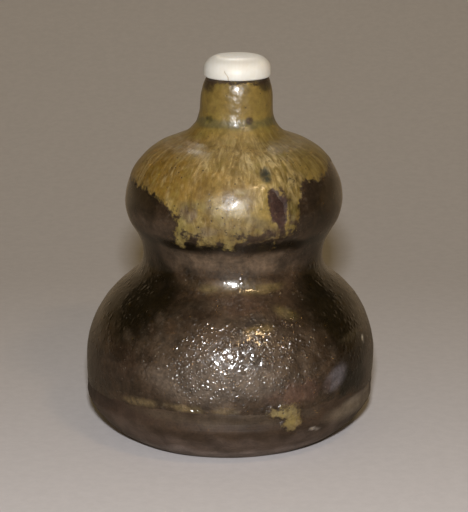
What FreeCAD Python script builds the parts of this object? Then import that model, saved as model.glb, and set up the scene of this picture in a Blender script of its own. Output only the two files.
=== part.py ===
import FreeCAD, Part
import math
import os

os.makedirs("parts", exist_ok=True)
Vector = FreeCAD.Vector

# A small double-gourd tea caddy: a hollow stoneware pot, the glazes fused on it and a lid
# that lifts off. Sizes are in millimetres. Radii are from the pot's own axis, heights are
# above the table, and +Z is up. The origin is the centre of the flat foot.

# The thrown clay, from the foot up
foot_radius = 23.0
foot_edge_round = 0.5
flank_bulge = 1.2
knuckle_height = 9.0
knuckle_proud = 0.25
knuckle_round = 1.2
groove_rise = 2.3
groove_depth = 0.05
belly_radius = 32.1
belly_rise = 6.0
waist_rise = 23.15
waist_draw = 4.15
bulb_radius = 23.8
bulb_rise = 12.35
shoulder_rise = 20.6
neck_radius = 7.5
neck_length = 6.6
mouth_taper = 0.85
mouth_drift = 2.0

# The curves at the widest and slimmest rings, two for each stretch between a wide and a slim
# ring, as shares of the largest curve that the stretch has room for
belly_curve_share = 0.760
waist_low_curve_share = 0.225
waist_top_curve_share = 0.530
bulb_low_curve_share = 0.450
bulb_top_curve_share = 0.640
neck_curve_share = 0.345

# The hollow inside
wall = 2.4
floor_thickness = 3.2
floor_corner_drop = 1.3

# The glazes, as thicknesses on the clay and on each other
iron_glaze = 0.35
ash_glaze = 0.2
lip_round = 0.5
mouth_glaze = 0.25
mouth_glaze_depth = 7.0
lip_bare_band = 0.7
splash_width = 10.5
splash_height = 5.6
splash_rise = 0.7

# The turned lid and its lining
lid_overhang = 0.42
lid_edge_height = 1.2
lid_edge_round = 3.3
lid_foot_round = 0.5
lid_crown = 0.15
plug_length = 3.4
plug_clearance = 0.25
plug_wall = 1.0
plug_edge_round = 0.3
lining_recess = 1.4
lining_thickness = 0.15
lining_gap = 0.1

# One overrun for every cutting solid, and the gap that may be closed along a cut seam
overrun = 3.0
seam_tolerance = 0.001
fine_seam_share = 0.001

# The rings and heights that follow from those sizes
knuckle_radius = belly_radius + knuckle_proud
groove_radius = belly_radius - groove_depth
groove_height = knuckle_height + groove_rise
belly_height = groove_height + belly_rise
waist_radius = bulb_radius - waist_draw
waist_height = belly_height + waist_rise
bulb_height = waist_height + bulb_rise
neck_height = bulb_height + shoulder_rise
mouth_radius = neck_radius - mouth_taper
mouth_height = neck_height + neck_length
bore_radius = neck_radius - wall
inner_belly_radius = belly_radius - wall
corner_height = belly_height - floor_corner_drop
floor_corner = corner_height - floor_thickness
rim_height = mouth_height + iron_glaze
plug_radius = bore_radius - mouth_glaze - plug_clearance
lid_radius = mouth_radius + iron_glaze + lid_overhang
lid_height = lid_edge_height + lid_edge_round + lid_crown

# The lower edge of the dark glaze: turn about the pot in degrees from the front, and height
# as a share of the way from the knuckle to the belly
iron_edge_shares = [
    (0, 0.45), (18, 0.42), (34, 0.55), (52, 0.62), (72, 0.60), (92, 0.52), (114, 0.42),
    (138, 0.48), (162, 0.62), (186, 0.58), (208, 0.46), (232, 0.43), (256, 0.50),
    (280, 0.58), (302, 0.61), (320, 0.60), (340, 0.52),
]

# The lower edge of the pale ash glaze with its runs: turn in degrees from the front, and
# height as a share of the way from the waist to the upper bulb's widest ring
ash_edge_shares = [
    (-88, 1.40), (-74, 1.40), (-60, 1.36), (-49, 1.34), (-42, 1.30), (-38.5, 1.20),
    (-36.5, 0.92), (-34.5, 0.64), (-32, 0.50), (-28.5, 0.48), (-26, 0.60), (-23, 0.68),
    (-20, 0.62), (-15, 0.56), (-8, 0.52), (-2, 0.48), (1.5, 0.51), (4, 0.62), (8.5, 0.67),
    (14, 0.65), (19, 0.66), (21.2, 0.60), (22.6, 0.40), (24, 0.60), (26.5, 0.76),
    (29, 0.80), (32.5, 0.78), (34.8, 0.96), (36.6, 1.26), (39.2, 1.50), (44, 1.56),
    (54, 1.55), (64, 1.58), (72, 1.66), (82, 1.69), (94, 1.64), (104, 1.50), (113, 1.24),
    (119, 0.92), (124, 0.68), (129, 0.58), (134, 0.72), (139, 1.00), (147, 1.26),
    (158, 1.32), (166, 1.16), (171, 0.82), (175, 0.56), (179, 0.46), (183, 0.58),
    (188, 0.74), (194, 0.80), (199, 1.04), (206, 1.30), (217, 1.44), (230, 1.48),
    (242, 1.36), (249, 1.12), (254, 1.16), (262, 1.34),
]

# The splash of ash glaze by the foot: its turn in degrees, and its outline as shares of its
# half width and half height
splash_turn = 23.0
splash_outline_shares = [
    (-1.00, 0.45), (-0.62, 0.95), (-0.10, 0.72), (0.42, 1.00), (0.80, 0.62), (0.62, 0.10),
    (1.00, -0.32), (0.58, -0.78), (0.16, -1.00), (-0.22, -0.60), (-0.70, -0.42),
]


def place(radius, height):
    """A point of a turned outline: radius from the axis, height above the table."""
    return Vector(radius, 0, height)


def line(start, end):
    """A straight edge of a turned outline."""
    return Part.LineSegment(start, end).toShape()


def round_edge(centre_radius, centre_height, curve, start_angle, end_angle):
    """An arc of a turned outline about a centre, between two angles in radians."""
    angles = (start_angle, (start_angle + end_angle) / 2, end_angle)
    points = [
        place(centre_radius + curve * math.cos(a), centre_height + curve * math.sin(a))
        for a in angles
    ]
    return Part.Arc(*points).toShape()


def swell(wide, slim, layer):
    """Edges from a widest ring to a slimmest one, moved outwards by a layer. Each ring is
    its radius and height in the clay, and its curve as a share of the room. An arc leaves
    the widest ring upright, a straight run touches both arcs, and an arc ends upright at
    the slimmest ring. The room is the sum of two curves that would touch with no straight
    run between them."""
    wide_radius, wide_height, wide_share = wide
    slim_radius, slim_height, slim_share = slim
    way = 1 if slim_height > wide_height else -1
    draw = wide_radius - slim_radius
    along = abs(slim_height - wide_height)
    room = (draw * draw + along * along) / (2 * draw)
    wide_curve = wide_share * room
    slim_curve = slim_share * room
    across = wide_curve + slim_curve - draw
    reach = (wide_curve + slim_curve) / math.hypot(across, along)
    turn = way * (math.atan2(along, across) - math.acos(reach))
    half_turn = way * math.pi
    first = round_edge(
        wide_radius - wide_curve, wide_height, wide_curve + layer, 0, turn
    )
    last = round_edge(
        slim_radius + slim_curve, slim_height, slim_curve - layer,
        turn + half_turn, half_turn,
    )
    return [first, line(first.Vertexes[-1].Point, last.Vertexes[0].Point), last]


def backwards(edges):
    """The same edges, walked the other way."""
    return [edge.reversed() for edge in reversed(edges)]


def leaning_arc(upright, through, layer, stop_height):
    """An arc that stands upright at one ring and leans in to pass through another, moved
    outwards by a layer and ended at a height. Each ring is its radius and height."""
    inwards = upright[0] - through[0]
    rise = through[1] - upright[1]
    curve = (inwards * inwards + rise * rise) / (2 * inwards)
    turn = math.asin((stop_height - upright[1]) / (curve + layer))
    return round_edge(upright[0] - curve, upright[1], curve + layer, 0, turn)


def low_arc(layer):
    """The pot's outside between the groove and the belly, a layer outside the clay."""
    belly = (belly_radius, belly_height)
    return leaning_arc(belly, (groove_radius, groove_height), layer, groove_height)


def chambers(layer):
    """The outline from the belly over the waist and the upper bulb to the neck, a layer
    outside the clay, or inside it where the layer is negative."""
    belly = (belly_radius, belly_height, belly_curve_share)
    waist_low = (waist_radius, waist_height, waist_low_curve_share)
    waist_top = (waist_radius, waist_height, waist_top_curve_share)
    bulb_low = (bulb_radius, bulb_height, bulb_low_curve_share)
    bulb_top = (bulb_radius, bulb_height, bulb_top_curve_share)
    neck = (neck_radius, neck_height, neck_curve_share)
    lower = swell(belly, waist_low, layer)
    upper = swell(bulb_low, waist_top, layer)
    return lower + backwards(upper) + swell(bulb_top, neck, layer)


def upper_outline(layer, top_height):
    """The outside of the pot from the groove to a height at the mouth, a layer of glaze
    outside the clay."""
    neck = leaning_arc(
        (neck_radius, neck_height), (mouth_radius, mouth_height), layer, top_height
    )
    return [low_arc(layer).reversed()] + chambers(layer) + [neck]


def turned(edges):
    """The solid swept by a closed outline, a full turn about the pot's axis."""
    face = Part.Face(Part.Wire(Part.__sortEdges__(edges)))
    return face.revolve(Vector(0, 0, 0), Vector(0, 0, 1), 360)


def ends(edges):
    """The first and last point of a run of edges listed from the foot upwards."""
    wire = Part.Wire(Part.__sortEdges__(edges))
    points = [vertex.Point for vertex in wire.OrderedVertexes]
    points.sort(key=lambda point: point.z)
    return points[0], points[-1]


def rounded(solid, radius, height, ring_radius):
    """Round the circular edge of a solid that lies at a height and has a ring radius."""
    reach = radius / 4
    rings = [
        edge for edge in solid.Edges
        if not edge.Degenerated and isinstance(edge.Curve, Part.Circle)
        and abs(edge.Curve.Center.z - height) < reach
        and abs(edge.Curve.Radius - ring_radius) < reach
    ]
    return solid.makeFillet(radius, rings)


def above_edge(edge_shares, low_height, high_height, top_height):
    """A block that fills the room above a wandering edge line about the pot: a smooth
    closed curve through the edge's heights, ruled straight out from the axis and carried
    up."""
    rings = []
    for reach in (bore_radius / 2, knuckle_radius + overrun):
        poles = []
        for turn, share in edge_shares:
            angle = math.radians(turn - 90)
            height = low_height + share * (high_height - low_height)
            poles.append(Vector(reach * math.cos(angle), reach * math.sin(angle), height))
        ring = Part.BSplineCurve()
        ring.buildFromPoles(poles, True, 3)
        rings.append(ring.toShape())
    ruled = Part.makeRuledSurface(rings[0], rings[1])
    return ruled.extrude(Vector(0, 0, top_height - low_height))


def drifted(solid):
    """Move every level ring of the pot sideways in step with its height, so that the mouth
    stands off the centre of the foot while all the rings stay level. The move leaves hair
    gaps along the seams of a skin that was cut before, and these are closed."""
    matrix = FreeCAD.Matrix()
    matrix.A13 = mouth_drift / mouth_height
    moved = solid.transformGeometry(matrix)
    fine_seam = fine_seam_share * seam_tolerance
    moved.fix(fine_seam, fine_seam, seam_tolerance)
    return moved


def flat_footed(solid):
    """The same solid, with the face it stands on laid on an exact level plane."""
    under = min(solid.Faces, key=lambda face: face.CenterOfMass.z)
    level = Part.Plane(Vector(0, 0, 0), Vector(0, 0, -1))
    return solid.replaceShape([(under, Part.Face(level, under.OuterWire))])


def drift_at(height):
    """How far the pot's axis has moved sideways at a height."""
    return mouth_drift * height / mouth_height


def clay_pot():
    """The thrown pot: turned outside and hollow, with a flat foot."""
    foot = place(foot_radius, 0)
    knuckle = place(knuckle_radius, knuckle_height)
    chord = knuckle - foot
    outwards = Vector(chord.z, 0, -chord.x) / chord.Length
    middle = (foot + knuckle) / 2 + outwards * flank_bulge
    flank = Part.Arc(foot, middle, knuckle).toShape()
    rise = upper_outline(0, mouth_height)
    groove, lip = ends(rise)
    outside = [flank, line(knuckle, groove)] + rise
    outside += [
        line(lip, place(0, mouth_height)),
        line(place(0, mouth_height), place(0, 0)),
        line(place(0, 0), foot),
    ]
    solid = turned(outside)
    solid = rounded(solid, knuckle_round, knuckle_height, knuckle_radius)
    solid = rounded(solid, foot_edge_round, 0, foot_radius)
    return solid.cut(hollow())


def hollow():
    """The room inside: a dished floor, two round chambers and a straight neck bore."""
    corner_centre = inner_belly_radius - floor_corner
    corner = round_edge(corner_centre, corner_height, floor_corner, -math.pi / 2, 0)
    top = mouth_height + overrun
    axis_floor = place(0, floor_thickness)
    side = place(inner_belly_radius, corner_height)
    edges = [
        line(axis_floor, corner.Vertexes[0].Point),
        corner,
        line(side, place(inner_belly_radius, belly_height)),
    ]
    edges += chambers(-wall)
    edges += [
        line(place(bore_radius, neck_height), place(bore_radius, top)),
        line(place(bore_radius, top), place(0, top)),
        line(place(0, top), axis_floor),
    ]
    return turned(edges)


def dark_glaze_coat():
    """The dark iron glaze: a thin skin from its wandering lower edge over the lip and a
    little way down inside the neck."""
    outside = upper_outline(iron_glaze, rim_height)
    inside = upper_outline(0, mouth_height)
    outside_low, outside_top = ends(outside)
    inside_low, inside_top = ends(inside)
    glazed_bore = bore_radius - mouth_glaze
    glaze_end = mouth_height - mouth_glaze_depth
    lip = [
        outside_top,
        place(glazed_bore, rim_height),
        place(glazed_bore, glaze_end),
        place(bore_radius, glaze_end),
        place(bore_radius, mouth_height),
        inside_top,
    ]
    edges = outside + inside + [line(inside_low, outside_low)]
    edges += [line(start, end) for start, end in zip(lip, lip[1:])]
    coat = turned(edges)
    coat = rounded(coat, lip_round, rim_height, outside_top.x)
    block = above_edge(iron_edge_shares, knuckle_height, belly_height, rim_height + overrun)
    return coat.common(block)


def ash_glaze_skin():
    """The ash glaze poured over neck and shoulder: a second skin on the dark glaze, ending
    in runs above the waist."""
    top_height = rim_height - lip_bare_band
    outside = upper_outline(iron_glaze + ash_glaze, top_height)
    inside = upper_outline(iron_glaze, top_height)
    outside_low, outside_top = ends(outside)
    inside_low, inside_top = ends(inside)
    edges = outside + inside
    edges += [line(inside_low, outside_low), line(outside_top, inside_top)]
    block = above_edge(ash_edge_shares, waist_height, bulb_height, rim_height + overrun)
    return turned(edges).common(block)


def foot_splash(coat, pot):
    """A drop of ash glaze low on the front: it lies on the dark glaze and runs over that
    glaze's lower edge on to the clay."""
    turn = math.radians(splash_turn - 90)
    facing = Vector(math.cos(turn), math.sin(turn), 0)
    sideways = Vector(0, 0, 1).cross(facing)
    rings = []
    centre_height = groove_height + splash_rise
    for reach in (groove_radius - wall / 2, knuckle_radius + overrun):
        middle = facing * reach + Vector(0, 0, centre_height)
        poles = [
            middle + sideways * (across * splash_width / 2)
            + Vector(0, 0, up * splash_height / 2)
            for across, up in splash_outline_shares
        ]
        ring = Part.BSplineCurve()
        ring.buildFromPoles(poles, True, 3)
        rings.append(Part.Wire(ring.toShape()))
    drop = Part.makeLoft(rings, True, True)
    skin = low_arc(iron_glaze + ash_glaze)
    skin_low, skin_top = ends([skin])
    brow = place(knuckle_radius + ash_glaze, knuckle_height)
    hem = place(brow.x, knuckle_height - splash_height)
    edges = [
        line(place(0, hem.z), hem),
        line(hem, brow),
        line(brow, skin_low),
        skin,
        line(skin_top, place(0, skin_top.z)),
        line(place(0, skin_top.z), place(0, hem.z)),
    ]
    return turned(edges).common(drop).cut(coat).cut(pot)


def lid():
    """The turned lid: a smooth pillow disc over a plug, with a shallow recess below."""
    side = lid_radius - lid_edge_round
    over = lid_edge_round + lid_crown
    crown_curve = (side * side + over * over - lid_edge_round**2) / (2 * lid_crown)
    crown_centre = rim_height + lid_height - crown_curve
    edge_height = rim_height + lid_edge_height
    turn = math.atan2(edge_height - crown_centre, side)
    foot = round_edge(
        lid_radius - lid_foot_round, rim_height + lid_foot_round, lid_foot_round,
        -math.pi / 2, 0,
    )
    edge = round_edge(side, edge_height, lid_edge_round, 0, turn)
    crown = round_edge(0, crown_centre, crown_curve, turn, math.pi / 2)
    apex = place(0, rim_height + lid_height)
    plug_end = rim_height - plug_length
    ceiling = plug_end + lining_recess
    recess_radius = plug_radius - plug_wall
    under = [
        apex,
        place(0, ceiling),
        place(recess_radius, ceiling),
        place(recess_radius, plug_end),
        place(plug_radius, plug_end),
        place(plug_radius, rim_height),
        foot.Vertexes[0].Point,
    ]
    edges = [line(start, end) for start, end in zip(under, under[1:])]
    edges += [foot, line(foot.Vertexes[-1].Point, edge.Vertexes[0].Point), edge, crown]
    solid = rounded(turned(edges), plug_edge_round, plug_end, plug_radius)
    solid.translate(Vector(drift_at(rim_height), 0, 0))
    return solid


def lid_lining():
    """The gilded paper disc pasted to the ceiling of the plug's recess."""
    ceiling = rim_height - plug_length + lining_recess
    radius = plug_radius - plug_wall - lining_gap
    base = Vector(drift_at(rim_height), 0, ceiling - lining_thickness)
    return Part.makeCylinder(radius, lining_thickness, base)


pot = clay_pot()
coat = dark_glaze_coat()

nodes = {
    "stoneware_body": flat_footed(drifted(pot)),
    "iron_glaze_coat": drifted(coat),
    "ash_glaze_pour": drifted(ash_glaze_skin()),
    "foot_ash_splash": drifted(foot_splash(coat, pot)),
    "ivory_lid": lid(),
    "lid_gold_lining": lid_lining(),
}

for name, shape in nodes.items():
    for solid in shape.Solids:
        print(name, "valid", solid.isValid(), "volume", round(solid.Volume, 1))
    shape.exportStep(os.path.join("parts", name + ".step"))
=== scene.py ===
import math

import bpy
import numpy as np
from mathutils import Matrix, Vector


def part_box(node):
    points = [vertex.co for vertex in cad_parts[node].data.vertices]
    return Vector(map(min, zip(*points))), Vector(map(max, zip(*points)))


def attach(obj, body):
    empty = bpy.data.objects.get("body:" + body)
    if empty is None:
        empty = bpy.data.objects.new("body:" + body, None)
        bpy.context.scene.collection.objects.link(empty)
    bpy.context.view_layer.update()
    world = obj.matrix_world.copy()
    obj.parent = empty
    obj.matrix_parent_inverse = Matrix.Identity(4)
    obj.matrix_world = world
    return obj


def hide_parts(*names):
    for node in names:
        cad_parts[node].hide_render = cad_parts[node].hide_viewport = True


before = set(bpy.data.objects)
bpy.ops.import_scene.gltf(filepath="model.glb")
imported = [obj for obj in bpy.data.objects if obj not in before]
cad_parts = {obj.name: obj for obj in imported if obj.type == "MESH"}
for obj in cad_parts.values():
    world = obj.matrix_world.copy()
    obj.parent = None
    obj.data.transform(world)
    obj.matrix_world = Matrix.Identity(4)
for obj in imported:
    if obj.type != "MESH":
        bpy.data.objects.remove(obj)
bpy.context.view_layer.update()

# A double-gourd tea caddy dressed in its glazes. Sizes of the pot are in millimetres and
# become metres as its points are worked out. A turn about the pot starts at the front and
# goes towards +X, in degrees in every list here and in radians in a grid.
MM = 0.001

# The thrown clay, as in the part's source
foot_radius = 23.0
flank_bulge = 1.2
knuckle_height = 9.0
knuckle_proud = 0.25
groove_rise = 2.3
groove_depth = 0.05
belly_radius = 32.1
belly_rise = 6.0
waist_rise = 23.15
waist_draw = 4.15
bulb_radius = 23.8
bulb_rise = 12.35
shoulder_rise = 20.6
neck_radius = 7.5
neck_length = 6.6
mouth_taper = 0.85
mouth_drift = 2.0
belly_curve_share = 0.760
waist_low_curve_share = 0.225
waist_top_curve_share = 0.530
bulb_low_curve_share = 0.450
bulb_top_curve_share = 0.640
neck_curve_share = 0.345
wall = 2.4
floor_thickness = 3.2
floor_corner_drop = 1.3

knuckle_radius = belly_radius + knuckle_proud
groove_height = knuckle_height + groove_rise
belly_height = groove_height + belly_rise
waist_radius = bulb_radius - waist_draw
waist_height = belly_height + waist_rise
bulb_height = waist_height + bulb_rise
neck_height = bulb_height + shoulder_rise
mouth_radius = neck_radius - mouth_taper
mouth_height = neck_height + neck_length
bore_radius = neck_radius - wall
corner_height = belly_height - floor_corner_drop
floor_corner = corner_height - floor_thickness

# The glazes
iron_glaze = 0.35
mouth_glaze = 0.25
mouth_glaze_depth = 7.0
iron_bead_reach = 4.0
ash_glaze = 0.17
ash_bead = 0.12
ash_bead_reach = 2.2
splash_glaze = 0.15
splash_bead_reach = 0.7
lip_bare_band = 0.55
sunk = 0.03
well_inside = 9.0

# Fineness of the outline, and how far each corner of the wet clay is softened
path_step = 0.05
soft_corner = 0.32

# Marks of throwing: lumps as height, size and seed, and rings as height and spacing
thrown_lumps = [(0.09, 17, 11), (0.045, 8, 12)]
thrown_rings = [(0.016, 3.9), (0.006, 2.1)]
ring_climb = 1.6

# The clay's swelling under the dark glaze's edge, and how far it goes above it
edge_swelling = 0.24
swelling_reach = 3.4

# The foot's string cuts, and the ridges left on the bare flank
cut_middle = (-4.0, 2.5)
string_gap = 1.15
string_cut = 0.07
ridge_gap = 0.62
ridge_height = 0.035


def arc(centre_radius, centre_height, curve, start, end):
    """Points of an arc about a centre, between two angles in radians."""
    count = max(3, int(abs(end - start) * curve / path_step))
    angle = np.linspace(start, end, count)
    return np.stack(
        [centre_radius + curve * np.cos(angle), centre_height + curve * np.sin(angle)], 1
    )


def straight(start, end):
    """Points of a straight run between two places."""
    start, end = np.array(start, float), np.array(end, float)
    count = max(2, int(np.linalg.norm(end - start) / path_step))
    return start + (end - start) * np.linspace(0, 1, count)[:, None]


def swell(wide, slim):
    """From a widest ring to a slimmest one: an arc that starts upright, a straight run that
    touches both arcs, and an arc that ends upright. Each curve is a share of the room, the
    sum of two curves that would touch with no run between them."""
    wide_radius, wide_height, wide_share = wide
    slim_radius, slim_height, slim_share = slim
    way = 1 if slim_height > wide_height else -1
    draw = wide_radius - slim_radius
    along = abs(slim_height - wide_height)
    room = (draw * draw + along * along) / (2 * draw)
    wide_curve, slim_curve = wide_share * room, slim_share * room
    across = wide_curve + slim_curve - draw
    reach = (wide_curve + slim_curve) / math.hypot(across, along)
    turn = way * (math.atan2(along, across) - math.acos(reach))
    half_turn = way * math.pi
    first = arc(wide_radius - wide_curve, wide_height, wide_curve, 0, turn)
    last = arc(
        slim_radius + slim_curve, slim_height, slim_curve, turn + half_turn, half_turn
    )
    return np.vstack([first, straight(first[-1], last[0])[1:-1], last])


def leaning_arc(upright, through):
    """An arc that stands upright at one ring and leans in to end at another."""
    inwards = upright[0] - through[0]
    rise = through[1] - upright[1]
    curve = (inwards * inwards + rise * rise) / (2 * inwards)
    return arc(upright[0] - curve, upright[1], curve, 0, math.asin(rise / curve))


def outwards(path):
    """The direction out of the clay at each point of a path: its way, turned by a quarter."""
    along = np.gradient(path, axis=0)
    along /= np.linalg.norm(along, axis=1)[:, None]
    return np.stack([along[:, 1], -along[:, 0]], 1)


def evened(path):
    """The same path with its points at even steps, and the way to each of them."""
    path = path[np.r_[True, np.linalg.norm(np.diff(path, axis=0), axis=1) > 1e-6]]
    way = np.r_[0, np.cumsum(np.linalg.norm(np.diff(path, axis=0), axis=1))]
    even = np.linspace(0, way[-1], int(way[-1] / path_step))
    return np.stack([np.interp(even, way, path[:, i]) for i in (0, 1)], 1), even


def softened(path):
    """A path with its corners rounded, as wet clay is: each point becomes the mean of its
    neighbours, weighted by a bell curve. The two ends stay on the axis."""
    reach = int(3 * soft_corner / path_step)
    bell = np.exp(-0.5 * (np.arange(-reach, reach + 1) * path_step / soft_corner) ** 2)
    bell /= bell.sum()
    head = 2 * path[0] - path[reach:0:-1]
    tail = 2 * path[-1] - path[-2:-reach - 2:-1]
    whole = np.vstack([head, path, tail])
    return np.stack([np.convolve(whole[:, i], bell, "valid") for i in (0, 1)], 1)


def clay_outline():
    """The outline of the clay as radius and height: from the middle of the foot up the
    outside, over the lip, down the bore and the inside to the middle of the floor."""
    foot = np.array([foot_radius, 0.0])
    knuckle = np.array([knuckle_radius, knuckle_height])
    groove = (belly_radius - groove_depth, groove_height)
    chord = knuckle - foot
    bulge = np.array([chord[1], -chord[0]]) / np.linalg.norm(chord) * flank_bulge
    share = np.linspace(0, 1, 200)[:, None]
    flank = foot + chord * share + bulge * 4 * share * (1 - share)
    low = leaning_arc((belly_radius, belly_height), groove)[::-1]
    belly = (belly_radius, belly_height, belly_curve_share)
    waist_low = (waist_radius, waist_height, waist_low_curve_share)
    waist_top = (waist_radius, waist_height, waist_top_curve_share)
    bulb_low = (bulb_radius, bulb_height, bulb_low_curve_share)
    bulb_top = (bulb_radius, bulb_height, bulb_top_curve_share)
    neck = (neck_radius, neck_height, neck_curve_share)
    chambers = np.vstack(
        [swell(belly, waist_low), swell(bulb_low, waist_top)[::-1], swell(bulb_top, neck)]
    )
    throat = leaning_arc((neck_radius, neck_height), (mouth_radius, mouth_height))
    even, _ = evened(chambers)
    inside = (even - wall * outwards(even))[::-1]
    inner_belly = belly_radius - wall
    corner = arc(
        inner_belly - floor_corner, corner_height, floor_corner, 0, -math.pi / 2
    )
    path = np.vstack([
        straight((0, 0), foot), flank, straight(knuckle, groove), low, chambers, throat,
        straight((mouth_radius, mouth_height), (bore_radius, mouth_height)),
        straight((bore_radius, mouth_height), (bore_radius, neck_height)),
        inside, corner, straight((corner[-1][0], floor_thickness), (0, floor_thickness)),
    ])
    return softened(evened(path)[0])


outline, outline_way = evened(clay_outline())
outline_out = outwards(outline)
lip = int(np.argmax(outline[:, 1]))
heel = int(np.argmax(outline[:, 1] > 0.02))
lip_way = outline_way[lip]


def way_at(height):
    """The distance along the outline to a height on the pot's outside."""
    return np.interp(height, outline[heel:lip, 1], outline_way[heel:lip])


def height_at(way):
    """The height at a distance along the outline."""
    return np.interp(way, outline_way, outline[:, 1])


def radius_at(way):
    """The radius at a distance along the outline."""
    return np.interp(way, outline_way, outline[:, 0])


def on_pot(way, turn, lift):
    """Points in metres on the pot: a distance along its outline, a turn in radians and a
    lift square to the clay. Every level ring is moved sideways in step with its height."""
    radius = radius_at(way)
    height = height_at(way)
    radius = radius + lift * np.interp(way, outline_way, outline_out[:, 0])
    height = height + lift * np.interp(way, outline_way, outline_out[:, 1])
    across = radius * np.sin(turn) + mouth_drift / mouth_height * height
    return np.stack([across, -radius * np.cos(turn), height], -1) * MM


def about_axis(centre, radius, turn, height):
    """Points in metres about an upright axis at a centre: a radius, a turn and a height."""
    return np.stack([radius * np.sin(turn) + centre, -radius * np.cos(turn), height], -1) * MM


def waves(points, size, seed):
    """A smooth random field over points in metres, mostly between -1 and 1: plane waves with
    random directions and starts, their crests about one size apart, added up."""
    count = 20
    random = np.random.default_rng(seed)
    directions = random.normal(size=(count, 3))
    directions /= np.linalg.norm(directions, axis=1)[:, None]
    lengths = size * MM * random.uniform(0.75, 1.35, count)
    starts = random.uniform(0, 2 * math.pi, count)
    total = 0
    for direction, length, start in zip(directions, lengths, starts):
        total = total + np.cos(points @ (direction * 2 * math.pi / length) + start)
    return total / math.sqrt(2 * count)


def several_waves(points, sizes, seed):
    """A random field for each size, with seeds that count up from the first."""
    return [waves(points, size, seed + number) for number, size in enumerate(sizes)]


def smooth_step(value, low, high):
    """0 below low, 1 above high and an S between them."""
    share = np.clip((value - low) / (high - low), 0, 1)
    return share * share * (3 - 2 * share)


def thrown(way, turn):
    """The unevenness left by the potter's hands, in millimetres: slow lumps, and rings that
    climb a little as they go round. They never stand out beyond the pot's widest ring.
    Below the dark glaze's edge the clay swells out as far as the glaze does above it."""
    points = on_pot(way, turn, 0)
    lumps = sum(tall * waves(points, size, seed) for tall, size, seed in thrown_lumps)
    climb = way + ring_climb * turn / (2 * math.pi)
    rings = sum(tall * np.cos(climb * 2 * math.pi / gap) for tall, gap in thrown_rings)
    fade = smooth_step(way, outline_way[heel], outline_way[heel] + 4)
    room = belly_radius - radius_at(way)
    uneven = np.minimum((lumps + rings) * fade, np.maximum(0, 0.5 * room))
    outside = (way < lip_way) & (way > outline_way[heel])
    turns, edges = np.array(iron_edge).T
    above = height_at(way) - np.interp(np.degrees(turn) % 360, turns, edges, period=360)
    fall = np.clip((swelling_reach - above) / swelling_reach, 0, 1) ** 2
    slip = edge_swelling * smooth_step(above, -2.3, -0.3) * fall
    return uneven + np.where(outside, slip, 0)


def write_mesh(name, points, faces):
    """A mesh object from points in metres and faces as rows of point numbers."""
    mesh = bpy.data.meshes.new(name)
    mesh.from_pydata(points.tolist(), [], faces)
    mesh.shade_smooth()
    mesh.set_sharp_from_angle(angle=math.radians(55))
    piece = bpy.data.objects.new(name, mesh)
    bpy.context.scene.collection.objects.link(piece)
    return piece


def carry(piece, **layers):
    """Keeps numbers, directions or colours for every point of a piece, under their names."""
    kinds = {1: ("FLOAT", "value"), 3: ("FLOAT_VECTOR", "vector"), 4: ("FLOAT_COLOR", "color")}
    for name, values in layers.items():
        kind, field = kinds[values.shape[1] if values.ndim == 2 else 1]
        layer = piece.data.attributes.new(name, kind, "POINT")
        layer.data.foreach_set(field, values.astype(np.float32).ravel())


def turned_piece(name, rings, first_pole, last_pole):
    """A closed turned shape: a grid of points, one row a ring, with a pole at each end."""
    rows, columns = rings.shape[:2]
    number = np.arange(rows * columns).reshape(rows, columns)
    after = np.roll(number, -1, axis=1)
    quads = np.stack([number[:-1], after[:-1], after[1:], number[1:]], -1).reshape(-1, 4)
    low, high = rows * columns, rows * columns + 1
    bottom = np.stack([np.full(columns, low), after[0], number[0]], 1)
    top = np.stack([np.full(columns, high), number[-1], after[-1]], 1)
    points = np.vstack([rings.reshape(-1, 3), [first_pole], [last_pole]])
    return write_mesh(name, points, quads.tolist() + bottom.tolist() + top.tolist())


def rounded_line(corners):
    """A closed line with its corners cut at a quarter of each side, twice over."""
    for _ in range(2):
        after = np.roll(corners, -1, axis=0)
        near, far = 0.75 * corners + 0.25 * after, 0.25 * corners + 0.75 * after
        corners = np.stack([near, far], 1).reshape(-1, 2)
    return corners


def depth_inside(across, up, line):
    """How far each place lies inside a closed line, and below zero outside it: the distance
    to the nearest side, with its sign from how many sides lie straight above the place."""
    nearest = np.full(across.shape, 1e9)
    crossings = np.zeros(across.shape, int)
    for (x0, y0), (x1, y1) in zip(line, np.roll(line, -1, axis=0)):
        side_x, side_y = x1 - x0, y1 - y0
        share = ((across - x0) * side_x + (up - y0) * side_y) / (side_x**2 + side_y**2)
        share = np.clip(share, 0, 1)
        away = np.hypot(across - x0 - share * side_x, up - y0 - share * side_y)
        nearest = np.minimum(nearest, away)
        if x0 != x1:
            beside = (across >= min(x0, x1)) & (across < max(x0, x1))
            crossings += beside & (up < y0 + (across - x0) * side_y / side_x)
    return np.where(crossings % 2 == 1, nearest, -nearest)


def depth_in_patch(corners, radius, way, turn):
    """How far inside a small patch a place lies, on the pot unrolled at a radius. The
    patch's corners are turns in degrees and heights."""
    at, height = np.array(corners).T
    line = np.stack([np.radians(at) * radius, way_at(height)], 1)
    return depth_inside(turn * radius, way, rounded_line(line))


def all_round(corners, radius, top_way):
    """A closed line on the unrolled pot from a border given as turns in degrees and heights
    once round it: the border with its ends repeated, closed far above."""
    turn, height = np.array(corners, float).T
    turn = np.r_[turn[-6:] - 360, turn, turn[:6] + 360]
    height = np.r_[height[-6:], height, height[:6]]
    border = np.stack([np.radians(turn) * radius, way_at(height)], 1)
    ends = [(border[-1][0], top_way), (border[0][0], top_way)]
    return rounded_line(np.vstack([border, ends]))


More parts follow.
